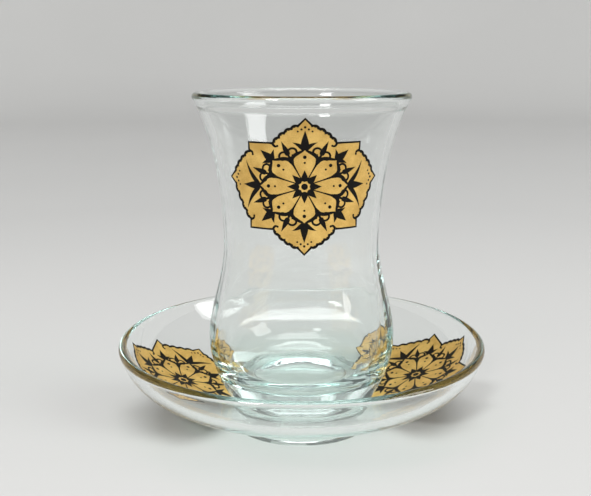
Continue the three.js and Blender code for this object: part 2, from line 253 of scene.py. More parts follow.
class TumblerSizes(PropertyGroup):
    """Sizes of the tumbler, heights counted from its own base."""

    height: length("Height", 93, "From the rest ring to the rim")
    wall: length("Wall", 2, "Thickness of the wall")
    wall_gain: length("Wall Gain", 1.8, "How much thicker the wall is at the base than at the waist")
    base: length("Base", 8.8, "Thickness of the base")
    rim_radius: length("Rim Radius", 31.5, "Outer radius at the rim")
    rim_flare: angle("Rim Flare", 0.474, "How far the mouth leans out")
    rim_reach: length("Rim Reach", 11.9, "How far the flare runs down before it bends")
    rim_bead: length("Rim Bead", 0.16, "How far the rim stands proud of the outer wall")
    rim_roll: length("Rim Roll", 0.36, "How far the rim stands proud of the inner wall")
    rim_height: length("Rim Height", 3, "Height of the thicker rim")
    waist_radius: length("Waist Radius", 23.1, "Outer radius at the waist")
    waist_height: length("Waist Height", 48.8, "Height of the waist")
    waist_reach_up: length("Waist Reach Up", 16.7, "How far the waist runs straight above its middle")
    waist_reach_down: length("Waist Reach Down", 9.1, "How far the waist runs straight below its middle")
    belly_radius: length("Belly Radius", 28, "Outer radius at the belly")
    belly_height: length("Belly Height", 20.6, "Height of the belly")
    belly_reach_up: length("Belly Reach Up", 8.7, "How far the belly runs straight above its middle")
    belly_reach_down: length("Belly Reach Down", 9.3, "How far the belly runs straight below its middle")
    heel_radius: length("Heel Radius", 20.5, "Outer radius at the base")
    heel_slope: angle("Heel Slope", 0.911, "Slope of the wall where it leaves the base")
    heel_reach: length("Heel Reach", 3.4, "How far that slope runs")
    heel_round: length("Heel Round", 1.1, "Rounding of the base's outer edge")
    rest_width: length("Rest Width", 6.5, "Width of the ring that the tumbler stands on")
    hollow_depth: length("Hollow Depth", 1.4, "Depth of the hollow under the base")
    inner_corner: length("Inner Corner", 10, "Rounding between the inner wall and the inner floor")
    clearance: length("Clearance", 0.4, "Room under the base for the saucer's prints")
    ripple: length("Ripple", 0.16, "Unevenness of the inner wall")
    drift: length("Drift", 0.5, "How far the cavity's bottom lies off the middle")
    steps_round: count("Steps Round", 160, "Faces round the axis")


class SaucerSizes(PropertyGroup):
    """Sizes of the saucer."""

    radius: length("Radius", 55, "Outer radius at the rim")
    height: length("Height", 26.6, "From the foot ring to the rim")
    wall: length("Wall", 2.5, "Thickness of the wall")
    floor: length("Floor", 3.8, "Thickness of the floor")
    slope: angle("Slope", 0.386, "Slope of the wall where it leaves the floor")
    slope_reach: length("Slope Reach", 18.6, "How far that slope runs")
    rim_lean: angle("Rim Lean", 0.287, "How far the wall leans out at the rim")
    rim_reach: length("Rim Reach", 14, "How far that lean runs down")
    seat_margin: length("Seat Margin", 1, "Flat floor left round the tumbler's base")
    foot_height: length("Foot Height", 4, "Height of the foot ring")
    foot_width: length("Foot Width", 3.8, "Width of the foot ring")
    foot_round: length("Foot Round", 0.6, "Rounding of the foot ring's edges")
    ripple: length("Ripple", 0.12, "Unevenness of the outer face")
    steps_round: count("Steps Round", 200, "Faces round the axis")


class PrintSizes(PropertyGroup):
    """Sizes of the printed medallions, drawn flat."""

    half_width: length("Half Width", 23.2, "From the middle to a side tip")
    half_height: length("Half Height", 19.4, "From the middle to the head's tip")
    head_half_width: length("Head Half Width", 8.7, "From the middle to the head's foot")
    shoulder_half_width: length("Shoulder Half Width", 15.9, "From the middle to a shoulder, across")
    shoulder_half_height: length("Shoulder Half Height", 12.4, "From the middle to a shoulder, up")
    shoulder_drop: length("Shoulder Drop", 2.6, "Straight side below a shoulder")
    side_tip_rise: length("Side Tip Rise", 1.7, "How far the side tip stands above the middle")
    tip_length: length("Tip Length", 2, "Length of a tip")
    tip_spread: length("Tip Spread", 2, "Half the width of a tip's foot")
    lobes: count("Lobes", 4, "Lobes on each stretch of the edge")
    head_bow: length("Head Bow", 0.6, "How far the head's edge bows out")
    side_bow: length("Side Bow", 0.4, "How far the side's edge bows out")
    lobe_bulge: number("Lobe Bulge", 0.2, "Height of a lobe as a share of its chord")
    border: length("Border", 0.9, "Width of the black border on its lobes")
    border_straight: length("Straight Border", 0.5, "Width of the black border on its straight stretches")
    scallop: length("Scallop", 0.26, "Depth of the small scallops on the border's inner edge")
    scallop_pitch: length("Scallop Pitch", 0.95, "Length of one small scallop")
    ground_inset: length("Ground Inset", 0.3, "How far the gold stays inside the border's edge")
    gold_rise: length("Gold Rise", 0.03, "How far the gold stands over the glass")
    black_rise: length("Black Rise", 0.05, "How far the black stands over the glass")
    bite: length("Bite", 0.02, "How deep the gold is fused into the glass")
    tumbler_drop: length("Tumbler Drop", 23.4, "From the rim down to the print's middle, along the wall")
    tumbler_turn: angle("Tumbler Turn", 0.025, "How far the print is turned round the tumbler")
    saucer_scale: number("Saucer Scale", 1.05, "Size of the saucer's prints against the tumbler's")
    saucer_drop: length("Saucer Drop", 1.8, "From the rim in to the print's foot, along the face")
    saucer_turn: angle("Saucer Turn", 0.065, "How far the prints are turned round the saucer")
    saucer_back: angle("Saucer Back", 0.085, "How far both prints lie nearer the saucer's back")


class DrawingSizes(PropertyGroup):
    """Sizes of the drawing inside each medallion."""

    parts: count("Parts", 8, "Arches in the ring")
    stretch: number("Stretch", 1.2, "Width of the ring against its height")
    eye: length("Eye", 0.9, "Radius of the rosette's eye")
    petal_root: length("Petal Root", 1.35, "From the middle to a petal's root")
    petal_length: length("Petal Length", 3.3, "Length of a petal")
    petal_width: length("Petal Width", 1.85, "Width of a petal")
    arch_foot: length("Arch Foot", 6.9, "From the middle to the valleys between the arches")
    arch_rise: length("Arch Rise", 3.9, "From the valleys out to the arches' tips")
    arch_width: length("Arch Width", 1, "Width of an arch's stroke")
    tulip_root: length("Tulip Root", 10.2, "From the middle to a tulip's root")
    tulip_length: length("Tulip Length", 5.6, "Length of a tulip")
    tulip_width: length("Tulip Width", 2.2, "Width of a tulip")
    tulip_leaf_length: length("Tulip Leaf Length", 4.2, "Length of a tulip's side leaf")
    tulip_leaf_width: length("Tulip Leaf Width", 1.3, "Width of a tulip's side leaf")
    tulip_leaf_turn: angle("Tulip Leaf Turn", 0.7, "How far a side leaf leans away from its tulip")
    tulip_leaf_bend: angle("Tulip Leaf Bend", 0.6, "How far a side leaf's end turns aside")
    side_leaf_length: length("Side Leaf Length", 8.6, "Length of the leaves of the two tulips at the sides")
    corner_share: number("Corner Share", 0.8, "Size of the tulips at the corners against the others")
    stalk_width: length("Stalk Width", 0.5, "Width of the stalks from the rosette")
    stem_width: length("Stem Width", 0.8, "Width of a sprig's stem")
    fork_reach: length("Fork Reach", 9.3, "From the middle to a sprig's fork")
    sprig_length: length("Sprig Length", 4.6, "Length of a sprig's leaf")
    sprig_width: length("Sprig Width", 1.5, "Width of a sprig's leaf")
    curl_radius: length("Curl Radius", 1.5, "Radius of a curl where it starts")
    curl_side: angle("Curl Side", 1.3, "How far a curl's eye lies to the side of its fork")
    curl_turns: number("Curl Turns", 0.9, "Turns of a curl")
    curl_eye: length("Curl Eye", 0.7, "Radius of a curl where it ends")
    curl_width: length("Curl Width", 0.6, "Width of a curl's stroke")


class Finishes(PropertyGroup):
    """Colours of the glass and the prints."""

    glass_tint: colour("Glass Tint", (0.4, 0.8, 0.74), "Colour that thick glass lets through")
    glass_depth: number("Glass Depth", 7.0, "How strongly thickness brings out the tint")
    gold_light: colour("Light Gold", (0.86, 0.57, 0.168), "Gold where it is freshest")
    gold_deep: colour("Deep Gold", (0.62, 0.375, 0.09), "Gold where it is thin or worn")
    black: colour("Black", (0.007, 0.006, 0.005), "The black of the border and the drawing")
    black_worn: colour("Worn Black", (0.055, 0.038, 0.02), "The black where it is thin")


class StageLook(PropertyGroup):
    """The floor, the lamps and the camera."""

    floor: colour("Floor", (0.56, 0.56, 0.55), "Colour of the floor and the backdrop")
    lamp_level: number("Lamp Level", 1.0, "Strength of all lamps together")
    camera_back: length("Camera Back", 263.2, "Camera's distance in front of the axis")
    camera_side: length("Camera Side", 1.8, "Camera's distance to the left of the axis")
    camera_height: length("Camera Height", 111.3, "Camera's height above the floor")
    camera_tilt: angle("Camera Tilt", 0.215, "How far the camera looks down")
    lens: number("Lens", 54.82, "Focal length for a frame 36 mm wide")


# Node trees

def add_node(tree, kind, inputs=None, **settings):
    """A new node with its settings, and with inputs linked or set by name or place."""
    made = tree.nodes.new(kind)
    for name, value in settings.items():
        setattr(made, name, value)
    for key, value in (inputs or {}).items():
        if isinstance(value, bpy.types.NodeSocket):
            tree.links.new(value, made.inputs[key])
        else:
            made.inputs[key].default_value = value
    return made


def node_out(tree, kind, inputs=None, **settings):
    """The first output of a new node."""
    return add_node(tree, kind, inputs, **settings).outputs[0]


def maths(tree, operation, *values):
    """The result of a Math node."""
    return node_out(tree, "ShaderNodeMath", dict(enumerate(values)), operation=operation)


def vector_maths(tree, operation, *values):
    """The vector result of a Vector Math node."""
    return node_out(tree, "ShaderNodeVectorMath", dict(enumerate(values)), operation=operation)


def scaled(tree, vector, factor):
    """A vector times a number."""
    return node_out(tree, "ShaderNodeVectorMath", {0: vector, "Scale": factor}, operation="SCALE")


def combined(tree, x, y, z):
    """A vector made of three numbers."""
    return node_out(tree, "ShaderNodeCombineXYZ", {0: x, 1: y, 2: z})


def remapped(tree, value, old, new=(0.0, 1.0)):
    """A value taken from one range to another and kept inside it."""
    return node_out(tree, "ShaderNodeMapRange", dict(enumerate((value, *old, *new))))


def noise(tree, vector, scale, detail=2.0, roughness=0.5):
    """The value of a Noise Texture node."""
    inputs = {"Vector": vector, "Scale": scale, "Detail": detail, "Roughness": roughness}
    return node_out(tree, "ShaderNodeTexNoise", inputs)


def group_tree(name, kind, inputs, outputs):
    """An empty node group with named sockets of given kinds, and its input sockets by name."""
    tree = bpy.data.node_groups.new(name, kind)
    for way, sockets in (("INPUT", inputs), ("OUTPUT", outputs)):
        for label, socket in sockets.items():
            tree.interface.new_socket(label, in_out=way, socket_type=f"NodeSocket{socket}")
    return tree, tree.nodes.new("NodeGroupInput").outputs


def geometry_tree(name, sizes):
    """An empty geometry tree that takes a geometry, sizes and a material."""
    inputs = {"Geometry": "Geometry", **sizes, "Material": "Material"}
    return group_tree(name, "GeometryNodeTree", inputs, {"Geometry": "Geometry"})


def geometry_out(tree, geometry, material):
    """The last nodes of every geometry tree."""
    plain = node_out(tree, "GeometryNodeRealizeInstances", {0: geometry})
    painted = node_out(tree, "GeometryNodeSetMaterial", {"Geometry": plain, "Material": material})
    add_node(tree, "NodeGroupOutput", {0: painted})


def sampled(tree, geometry, value, index, kind="FLOAT"):
    """A value read from one point of a geometry."""
    inputs = {"Geometry": geometry, "Value": value, "Index": index}
    return node_out(tree, "GeometryNodeSampleIndex", inputs, data_type=kind)


def named(tree, name):
    """A float attribute of the geometry."""
    return node_out(tree, "GeometryNodeInputNamedAttribute", {"Name": name}, data_type="FLOAT")


def turning_tree():
    """A profile of (radius, 0, height) points turned about +Z, with its waves and its drift aside."""
    sizes = {"Steps Round": "Int", "Ripple": "Float", "Drift": "Float"}
    tree, given = geometry_tree("Turned Glass", sizes)
    profile = given["Geometry"]
    points = add_node(tree, "GeometryNodeAttributeDomainSize", {0: profile}).outputs["Point Count"]
    columns = maths(tree, "ADD", given["Steps Round"], 1.0)
    grid = node_out(tree, "GeometryNodeMeshGrid", {"Vertices X": points, "Vertices Y": columns})
    index = node_out(tree, "GeometryNodeInputIndex")
    row = maths(tree, "FLOOR", maths(tree, "DIVIDE", maths(tree, "ADD", index, 0.5), columns))
    column = maths(tree, "SUBTRACT", index, maths(tree, "MULTIPLY", row, columns))
    turn = maths(tree, "MULTIPLY", maths(tree, "DIVIDE", column, given["Steps Round"]), 2 * math.pi)
    place = sampled(tree, profile, node_out(tree, "GeometryNodeInputPosition"), row, "FLOAT_VECTOR")
    radius, _, height = add_node(tree, "ShaderNodeSeparateXYZ", {0: place}).outputs
    sine = maths(tree, "SINE", turn)
    cosine = maths(tree, "MULTIPLY", maths(tree, "COSINE", turn), -1.0)

    def waves(pace, scale):
        """Noise about zero over the wall, slow or fast along its height."""
        spot = combined(tree, sine, cosine, maths(tree, "MULTIPLY", height, pace))
        return maths(tree, "SUBTRACT", noise(tree, spot, scale, detail=1.0), 0.5)

    uneven = maths(tree, "MULTIPLY", maths(tree, "ADD", waves(*STREAKS), waves(*RINGS)), given["Ripple"])
    swell = maths(tree, "MULTIPLY", uneven, sampled(tree, profile, named(tree, "ripple"), row))
    wall = scaled(tree, combined(tree, sine, cosine, 0.0), maths(tree, "ADD", radius, swell))
    aside = maths(tree, "MULTIPLY", sampled(tree, profile, named(tree, "drift"), row), given["Drift"])
    whole = vector_maths(tree, "ADD", wall, combined(tree, aside, 0.0, height))
    shaped = node_out(tree, "GeometryNodeSetPosition", {"Geometry": grid, "Position": whole})
    closed = node_out(tree, "GeometryNodeMergeByDistance", {"Geometry": shaped, "Distance": SEAM})
    outwards = node_out(tree, "GeometryNodeFlipFaces", {"Mesh": closed})
    smooth = node_out(tree, "GeometryNodeSetShadeSmooth", {"Geometry": outwards})
    geometry_out(tree, smooth, given["Material"])
    return tree


def drawing_tree():
    """Flat ink from a wire mesh: a ribbon along each chain of edges and a disc on each loose point."""
    tree, given = geometry_tree("Ink Drawing", {"Columns": "Int", "Dot Sides": "Int"})
    wire = given["Geometry"]
    lines = node_out(tree, "GeometryNodeMeshToCurve", {"Mesh": wire})
    flat = node_out(tree, "GeometryNodeSetCurveNormal", {"Curve": lines}, mode="Z_UP")
    nib_ends = {"Start": (-1.0, 0.0, 0.0), "End": (1.0, 0.0, 0.0)}
    nib = node_out(tree, "GeometryNodeCurvePrimitiveLine", nib_ends)
    nib_points = node_out(tree, "GeometryNodeResampleCurve", {"Curve": nib, "Count": given["Columns"]})
    sweep = {"Curve": flat, "Profile Curve": nib_points, "Scale": named(tree, "half_width")}
    ribbon = node_out(tree, "GeometryNodeCurveToMesh", sweep)
    disc = {"Vertices": given["Dot Sides"], "Radius": 1.0}
    dot = node_out(tree, "GeometryNodeMeshCircle", disc, fill_type="TRIANGLE_FAN")
    size = named(tree, "dot_radius")
    is_dot = maths(tree, "GREATER_THAN", size, 0.0)
    spread = {"Points": wire, "Selection": is_dot, "Instance": dot, "Scale": size}
    dots = node_out(tree, "GeometryNodeInstanceOnPoints", spread)
    joined = add_node(tree, "GeometryNodeJoinGeometry")
    tree.links.new(ribbon, joined.inputs[0])
    tree.links.new(dots, joined.inputs[0])
    geometry_out(tree, joined.outputs[0], given["Material"])
    return tree


def tree_named(name, maker):
    """A node tree of that name, made the first time."""
    return bpy.data.node_groups.get(name) or maker()


# Objects

def linked(name, data):
    """A new object in the scene."""
    made = bpy.data.objects.new(name, data)
    bpy.context.scene.collection.objects.link(made)
    return made


def grown(source, tree, values):
    """The plain mesh that a geometry tree makes of an object, which is then removed."""
    modifier = source.modifiers.new("Shape", "NODES")
    modifier.node_group = tree
    for item in tree.interface.items_tree:
        if item.in_out == "INPUT" and item.name in values:
            modifier[item.identifier] = values[item.name]
    depsgraph = bpy.context.evaluated_depsgraph_get()
    mesh = bpy.data.meshes.new_from_object(source.evaluated_get(depsgraph), depsgraph=depsgraph)
    wire = source.data
    source.modifiers.remove(modifier)
    bpy.data.objects.remove(source)
    bpy.data.meshes.remove(wire)
    return mesh


def wire_object(name, points, edges, attributes):
    """An object of points and edges with float attributes on its points."""
    mesh = bpy.data.meshes.new(name)
    mesh.from_pydata([tuple(p) for p in points], edges, [])
    for label, values in attributes.items():
        layer = mesh.attributes.new(label, "FLOAT", "POINT")
        layer.data.foreach_set("value", np.asarray(values, np.float32))
    return linked(name, mesh)


def smooth_mesh(name, points, faces, material):
    """A smooth mesh of one material."""
    mesh = bpy.data.meshes.new(name)
    mesh.from_pydata([tuple(p) for p in points], [], faces)
    mesh.validate()
    mesh.polygons.foreach_set("use_smooth", [True] * len(mesh.polygons))
    mesh.materials.append(material)
    return mesh


def finished(name, mesh, body, node):
    """The mesh as a named piece that rides on a body and stands for a CAD node."""
    mesh.name = name
    made = linked(name, mesh)
    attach(made, body)
    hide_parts(node)


# Lines and curves

def point(x, y):
    """A flat point."""
    return np.array([x, y])


def polar(turn, reach):
    """A point at that angle and distance."""
    return point(math.cos(turn), math.sin(turn)) * reach


def straight(start, end, steps):
    """Points along a straight line, without its last."""
    t = np.linspace(0, 1, steps + 1)[:-1, None]
    return start + (end - start) * t


def line_to(start, end, steps):
    """Points along a straight line with both its ends."""
    return np.vstack([straight(start, end, steps), end])


def quadratic(start, middle, end, t):
    """Points of a quadratic curve."""
    t = np.asarray(t)[:, None]
    return (1 - t) ** 2 * start + 2 * (1 - t) * t * middle + t**2 * end


def corner(start, middle, end, steps):
    """Points round a soft corner, without its two ends."""
    return quadratic(start, middle, end, np.linspace(0, 1, steps + 1)[1:-1])


def half_round(start, end, steps):
    """Points over a rim on a half circle from one wall's end to the other's, without its two ends."""
    middle = (start + end) / 2
    arm = start - middle
    side = point(-arm[1], arm[0])
    t = np.linspace(0, math.pi, steps + 1)[1:-1, None]
    return middle + arm * np.cos(t) + side * np.sin(t)


def wall_along(curves, steps):
    """Points along joined cubic curves, with the unit normals on the right of the way."""
    points = []
    ways = []
    for place, (a, b, c, d) in enumerate(curves):
        t = np.linspace(0, 1, steps + 1)[1 if place else 0:, None]
        s = 1 - t
        points.append(s**3 * a + 3 * s**2 * t * b + 3 * s * t**2 * c + t**3 * d)
        ways.append(s**2 * (b - a) + 2 * s * t * (c - b) + t**2 * (d - c))
    way = np.vstack(ways)
    way /= np.linalg.norm(way, axis=1, keepdims=True)
    return np.vstack(points), np.column_stack([way[:, 1], -way[:, 0]])


def soft_step(values, low, high):
    """0 below the low end, 1 above the high end and smooth between them."""
    t = np.clip((values - low) / (high - low), 0, 1)
    return t * t * (3 - 2 * t)


# Profiles of the glass

def saucer_floor_height(saucer):
    """Height of the saucer's upper floor."""
    return saucer.foot_height + saucer.wall * math.cos(saucer.slope)


def saucer_wall(saucer, tumbler):
    """The saucer's outer wall from the foot ring to the rim, with its normals."""
    floor_radius = tumbler.heel_radius + saucer.seat_margin
    start = point(floor_radius + saucer.wall * math.sin(saucer.slope), saucer.foot_height)
    half = saucer.wall / 2
    end = point(saucer.radius - half, saucer.height - half) + polar(-saucer.rim_lean, half)
    first = start + polar(saucer.slope, saucer.slope_reach)
    last = end + polar(-math.pi / 2 - saucer.rim_lean, saucer.rim_reach)
    return wall_along([(start, first, last, end)], SAUCER_WALL_STEPS)


def saucer_profile(saucer, tumbler):
    """The saucer's section from under its middle, round the rim, to its floor, and where it is wavy."""
    outside, normals = saucer_wall(saucer, tumbler)
    inside = (outside - saucer.wall * normals)[::-1]
    floor_height = saucer_floor_height(saucer)
    recess = floor_height - saucer.floor
    edge = saucer.foot_round
    ring_outer = outside[0, 0] - edge
    ring_inner = ring_outer - saucer.foot_width
    recess_edge = point(ring_inner - RECESS_LEAN * edge, recess)
    inner_foot = point(ring_inner - edge, 0.0)
    outer_foot = point(ring_outer, 0.0)
    neck = point(ring_outer, saucer.foot_height - NECK_DROP * edge)
    aside = point(edge, 0.0)
    up = point(0.0, edge)
    slant = SLANT_ROUND * (inner_foot - recess_edge)
    way = outside[3] - outside[0]
    soft = NECK_ROUND * edge * way / np.linalg.norm(way)
    clear = outside[np.linalg.norm(outside - outside[0], axis=1) > np.linalg.norm(soft)]
    under = np.vstack([
        line_to(point(0.0, recess), recess_edge - aside, 14),
        corner(recess_edge - aside, recess_edge, recess_edge + slant, 6),
        line_to(recess_edge + slant, inner_foot - slant, 4),
        corner(inner_foot - slant, inner_foot, inner_foot + aside, 6),
        line_to(inner_foot + aside, outer_foot - aside, 5),
        corner(outer_foot - aside, outer_foot, outer_foot + up, 8),
        line_to(outer_foot + up, neck - up, 5),
        corner(neck - up, neck, outside[0] + soft, 7),
        [outside[0] + soft],
    ])
    upper = np.vstack([
        half_round(outside[-1], inside[0], RIM_STEPS),
        inside,
        line_to(inside[-1], point(0.0, floor_height), 24)[1:],
    ])
    wavy = np.sin(np.linspace(0, math.pi, len(clear))) ** 0.5
    return np.vstack([under, clear, upper]), np.pad(wavy, (len(under), len(upper)))


def standing_height(saucer, tumbler):
    """Height of the tumbler's rest ring."""
    return saucer_floor_height(saucer) + tumbler.clearance


def tumbler_wall(saucer, tumbler):
    """The tumbler's outer wall from the heel to the mouth, with its normals."""
    standing = standing_height(saucer, tumbler)
    up = point(0.0, 1.0)
    heel = point(tumbler.heel_radius, standing)
    belly = point(tumbler.belly_radius, standing + tumbler.belly_height)
    waist = point(tumbler.waist_radius, standing + tumbler.waist_height)
    half = tumbler.wall / 2
    mouth = point(tumbler.rim_radius - half, standing + tumbler.height - half)
    mouth = mouth + polar(-tumbler.rim_flare, half)
    leave = heel + polar(tumbler.heel_slope, tumbler.heel_reach)
    arrive = mouth + polar(-math.pi / 2 - tumbler.rim_flare, tumbler.rim_reach)
    curves = [
        (heel, leave, belly - up * tumbler.belly_reach_down, belly),
        (belly, belly + up * tumbler.belly_reach_up, waist - up * tumbler.waist_reach_down, waist),
        (waist, waist + up * tumbler.waist_reach_up, arrive, mouth),
    ]
    return wall_along(curves, TUMBLER_WALL_STEPS)


def tumbler_profile(saucer, tumbler):
    """The tumbler's section from under its base, round the rim, to its inner floor.

    With it go the shares of the waves and of the cavity's drift at each point.
    """
    outside, normals = tumbler_wall(saucer, tumbler)
    standing = standing_height(saucer, tumbler)
    bottom = standing + tumbler.base
    low = 1 - soft_step(outside[:, 1], standing, standing + tumbler.waist_height)
    thickness = tumbler.wall + tumbler.wall_gain * low
    inside = outside - thickness[:, None] * normals
    rim = outside[-1, 1] - tumbler.rim_height
    bead = soft_step(outside[:, 1], rim, rim + BEAD_RISE * tumbler.rim_height)[:, None]
    outside = outside + tumbler.rim_bead * bead * normals
    inside = inside - tumbler.rim_roll * bead * normals
    inside = inside[inside[:, 1] > bottom + tumbler.inner_corner][::-1]
    lean = inside[-2] - inside[-1]
    corner_radius = inside[-1, 0] - lean[0] / lean[1] * (inside[-1, 1] - bottom)
    inner_edge = point(corner_radius - tumbler.inner_corner, bottom)
    heel = outside[0]
    clear = outside[np.linalg.norm(outside - heel, axis=1) > tumbler.heel_round]
    t = np.linspace(0, 1, HOLLOW_POINTS)
    dome = standing + tumbler.hollow_depth * (1 - t**2) ** HOLLOW_BEND
    hollow = np.column_stack([(tumbler.heel_radius - tumbler.rest_width) * t, dome])
    rest_outer = heel - point(tumbler.heel_round, 0.0)
    outer = np.vstack([
        hollow,
        line_to(hollow[-1], rest_outer, 6)[1:],
        corner(rest_outer, heel, clear[0], 9),
        clear,
        half_round(outside[-1], inside[0], RIM_STEPS),
    ])
    inner = np.vstack([
        inside,
        corner(inside[-1], point(corner_radius, bottom), inner_edge, 16),
        line_to(inner_edge, point(0.0, bottom), 14),
    ])
    profile = np.vstack([outer, inner])
    radius, height = profile.T
    in_cavity = np.arange(len(profile)) >= len(outer)
    fade_low, fade_high = (standing + share * tumbler.height for share in WAVES_FADE)
    wavy = in_cavity * soft_step(radius, EVEN_FLOOR * inner_edge[0], inner_edge[0])
    wavy = wavy * (1 - soft_step(height, fade_low, fade_high))
    sunk = 1 - soft_step(height, bottom, standing + tumbler.waist_height)
    return profile, wavy, in_cavity * sunk


# Places on the glass

class Face:
    """A line of (radius, height) points up a face of the glass, read by the distance along it."""

    def __init__(self, points, normals):
        steps = np.linalg.norm(np.diff(points, axis=0), axis=1)
        self.distance = np.concatenate([[0], np.cumsum(steps)])
        self.points = points
        self.normals = normals

    def end(self):
        """Length of the line."""
        return self.distance[-1]

    def at(self, distance, lift):
        """Radius on the glass, and the radius and height of points lifted off it."""
        columns = [*self.points.T, *self.normals.T]
        radius, height, out, up = (np.interp(distance, self.distance, column) for column in columns)
        return radius, radius + lift * out, height + lift * up


def tumbler_place(scene):
    """A function that lays flat points on the front of the tumbler."""
    prints = scene.tea_glass_prints
    face = Face(*tumbler_wall(scene.tea_glass_saucer, scene.tea_glass_tumbler))
    middle = face.end() - prints.tumbler_drop

    def place(flat, lift):
        on_glass, radius, height = face.at(middle + flat[:, 1], lift)
        turn = flat[:, 0] / on_glass + prints.tumbler_turn
        return np.column_stack([radius * np.sin(turn), -radius * np.cos(turn), height])

    return place


def saucer_place(scene, turn):
    """A function that lays flat points on the saucer's upper face, their head towards the middle."""
    prints = scene.tea_glass_prints
    saucer = scene.tea_glass_saucer
    outside, normals = saucer_wall(saucer, scene.tea_glass_tumbler)
    floor_middle = point(0.0, saucer_floor_height(saucer))
    upper = np.vstack([floor_middle, outside - saucer.wall * normals])
    face = Face(upper, np.vstack([point(0.0, 1.0), -normals]))
    half = prints.saucer_scale * prints.half_height
    middle = face.end() - prints.saucer_drop - half

    def place(flat, lift):
        out = middle - prints.saucer_scale * flat[:, 1]
        across = prints.saucer_scale * flat[:, 0]
        _, radius, height = face.at(np.hypot(out, across), lift)
        way = np.arctan2(across, out) + turn
        return np.column_stack([radius * np.cos(way), radius * np.sin(way), height])

    return place


def print_places(scene):
    """Each print's CAD name with its body and the function that lays it on the glass."""
    prints = scene.tea_glass_prints
    right = prints.saucer_turn + prints.saucer_back
    left = math.pi + prints.saucer_turn - prints.saucer_back
    return [
        ("tumbler_medallion", "tumbler", tumbler_place(scene)),
        ("saucer_right_medallion", "saucer", saucer_place(scene, right)),
        ("saucer_left_medallion", "saucer", saucer_place(scene, left)),
    ]


# Flat shapes of the medallions

def flipped(points):
    """The points mirrored top to bottom, in turned order."""
    return points[::-1] * [1, -1, 1]


def mirrored(points):
    """The points mirrored left to right, in turned order."""
    return points[::-1] * [-1, 1, 1]


def marked(points, mark):
    """The points with a third number, 1 on a lobed stretch and 0 on a straight one."""
    return np.column_stack([points, np.full(len(points), mark)])


def lobed(start, end, lobes, bow, bulge):
    """Arcs side by side along a bowed line, all bulging to the left of the way."""
    way = end - start
    left = point(-way[1], way[0]) / np.linalg.norm(way)
    fine = quadratic(start, (start + end) / 2 + 2 * bow * left, end, np.linspace(0, 1, BOW_POINTS))
    run = np.concatenate([[0], np.cumsum(np.linalg.norm(np.diff(fine, axis=0), axis=1))])
    marks = np.linspace(0, run[-1], lobes + 1)
    ends = np.column_stack([np.interp(marks, run, column) for column in fine.T])
    arcs = []
    for place in range(lobes):
        a, b = ends[place], ends[place + 1]
        chord = b - a
        peak = (a + b) / 2 + 2 * bulge * point(-chord[1], chord[0])
        arcs.append(quadratic(a, peak, b, np.linspace(0, 1, LOBE_POINTS)[1 if place else 0:]))
    return np.vstack(arcs)


def quarter_outline(prints, tip_height):
    """A quarter of the cartouche, from its head's tip over a shoulder to its side tip."""
    tip_foot = point(prints.tip_spread, prints.half_height - prints.tip_length)
    head_foot = point(prints.head_half_width, prints.shoulder_half_height)
    shoulder = point(prints.shoulder_half_width, prints.shoulder_half_height)
    below = shoulder - point(0.0, prints.shoulder_drop)
    side_foot = point(prints.half_width - prints.tip_length, tip_height + prints.tip_spread)
    head_tip = point(0.0, prints.half_height)
    side_tip = point(prints.half_width, tip_height)
    return np.vstack([
        marked(straight(head_tip, tip_foot, 5), 0.0),
        marked(lobed(tip_foot, head_foot, prints.lobes, prints.head_bow, prints.lobe_bulge), 1.0),
        marked(straight(head_foot, shoulder, 9)[1:], 0.0),
        marked(straight(shoulder, below, 4), 0.0),
        marked(lobed(below, side_foot, prints.lobes, prints.side_bow, prints.lobe_bulge), 1.0),
        marked(line_to(side_foot, side_tip, 5)[1:], 0.0),
    ])


def cartouche(prints):
    """The whole marked outline, turning clockwise from the head's tip."""
    upper = quarter_outline(prints, prints.side_tip_rise)
    lower = flipped(quarter_outline(prints, -prints.side_tip_rise))
    right = np.vstack([upper, lower[1:]])
    return np.vstack([right, mirrored(right)[1:-1]])


def drawn_in(outline, distance):
    """The outline moved towards its middle."""
    reach = np.linalg.norm(outline, axis=1, keepdims=True)
    return outline * (1 - distance / reach)


def strip_faces(rings, columns):
    """Faces between closed rings of points, each wound the other way from the rings."""
    faces = []
    for ring in range(rings - 1):
        for i in range(columns):
            j = (i + 1) % columns
            a = ring * columns
            faces.append((a + j, a + i, a + columns + i, a + columns + j))
    return faces


def ground_flat(prints):
    """The gold's flat shape, in rings about its middle."""
    edge = drawn_in(cartouche(prints)[:, :2], prints.ground_inset)
    columns = len(edge)
    rings = [edge * (1 - ring / GROUND_RINGS) for ring in range(GROUND_RINGS)]
    points = np.vstack([*rings, point(0.0, 0.0)])
    last = (GROUND_RINGS - 1) * columns
    middle = GROUND_RINGS * columns
    fan = [(last + (i + 1) % columns, last + i, middle) for i in range(columns)]
    return points, strip_faces(GROUND_RINGS, columns) + fan


def resampled(outline, step):
    """A closed outline with its corners kept and no stretch longer than a step."""
    pieces = []
    for start, end in zip(outline, np.roll(outline, -1, axis=0)):
        pieces.append(straight(start, end, max(1, math.ceil(np.linalg.norm((end - start)[:2]) / step))))
    return np.vstack(pieces)


def softened(rows, spread):
    """Rows of numbers along a closed line, each averaged with its neighbours."""
    reach = np.arange(-3 * spread, 3 * spread + 1)
    weights = np.exp(-((reach / spread) ** 2) / 2)
    weights /= weights.sum()
    return sum(weight * np.roll(rows, -step, axis=0) for weight, step in zip(weights, reach))


